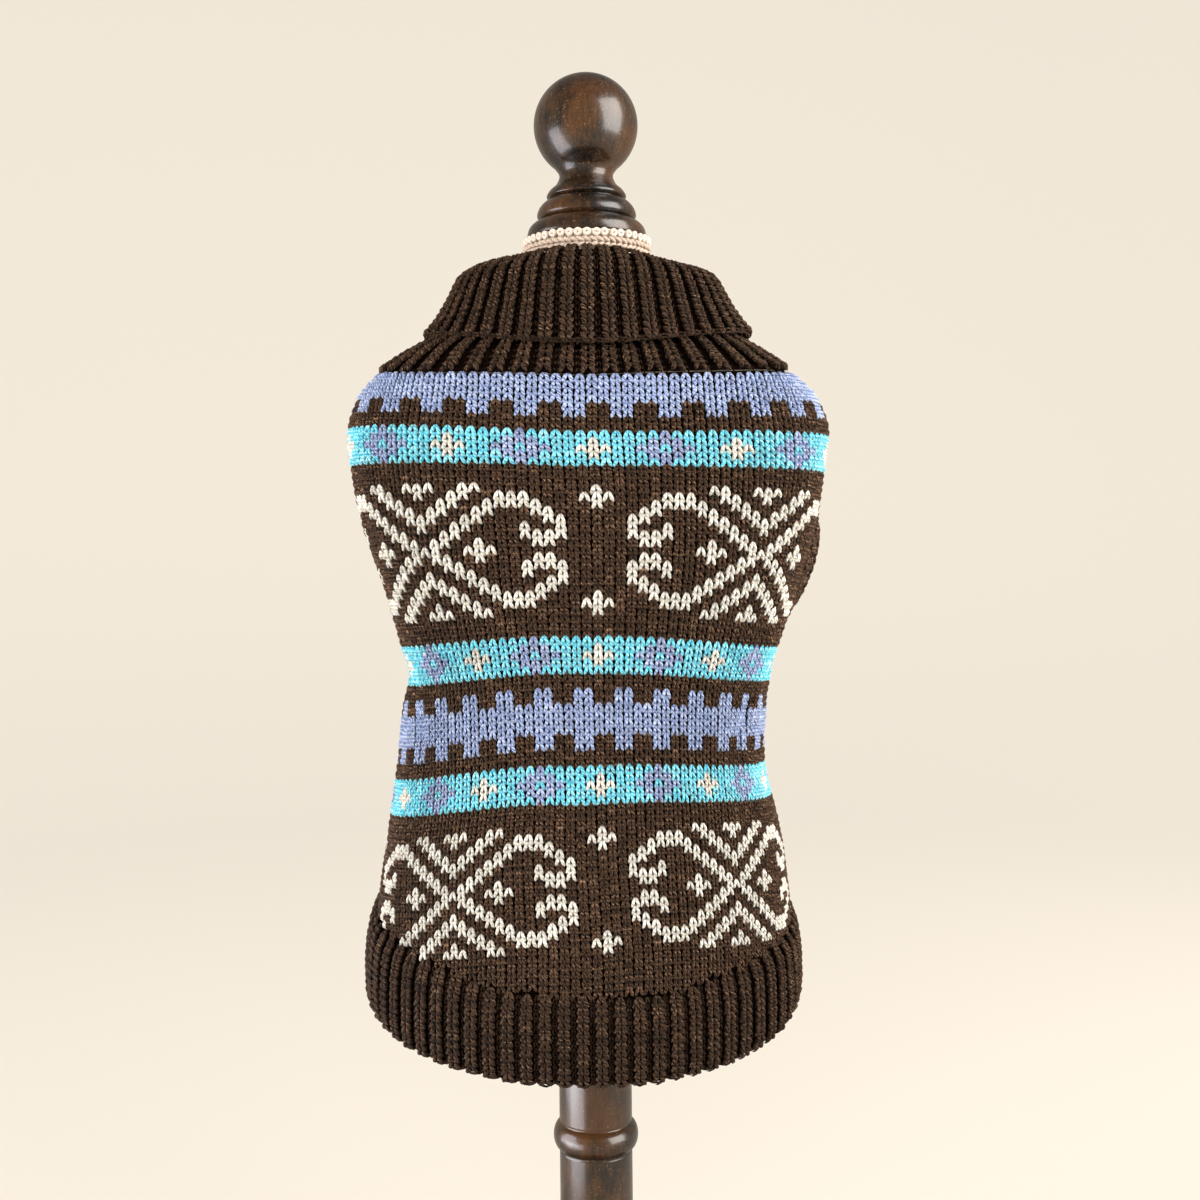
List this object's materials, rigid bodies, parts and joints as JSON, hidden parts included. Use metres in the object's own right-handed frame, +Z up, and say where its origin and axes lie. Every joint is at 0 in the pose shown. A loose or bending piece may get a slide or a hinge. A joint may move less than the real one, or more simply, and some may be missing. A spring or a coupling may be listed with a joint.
{
  "type": "pet sweater on a dress form",
  "caption": "Ribbed roll-neck pet sweater with leg openings, worn on a small limbless dress form with a turned finial, pole and round base.",
  "frame": {"origin": "middle of the round base's flat underside", "axes": "+Z up along the pole; -Y is the way the back of the sweater faces; +X is the viewer's right when looking at that back"},
  "size_m": [0.196, 0.196, 0.5362],
  "materials": {
    "patterned_jersey": "knitted wool, dark brown ground with blue, violet and cream pattern",
    "brown_jersey": "knitted wool, dark brown",
    "brown_ribbing": "ribbed knitted wool, dark brown",
    "cream_linen": "plain woven linen",
    "cream_gimp": "twisted braid",
    "dark_wood": "dark lacquered turned wood"
  },
  "bodies": {
    "root": {"back_panel": "patterned_jersey", "belly_panel": "brown_jersey", "collar": "brown_ribbing", "hem_band": "brown_ribbing", "leg_cuff_left": "brown_ribbing", "leg_cuff_right": "brown_ribbing", "form_torso": "cream_linen", "neck_braid": "cream_gimp", "form_finial": "dark_wood", "form_pole": "dark_wood", "form_base": "dark_wood"}
  },
  "joints": []
}
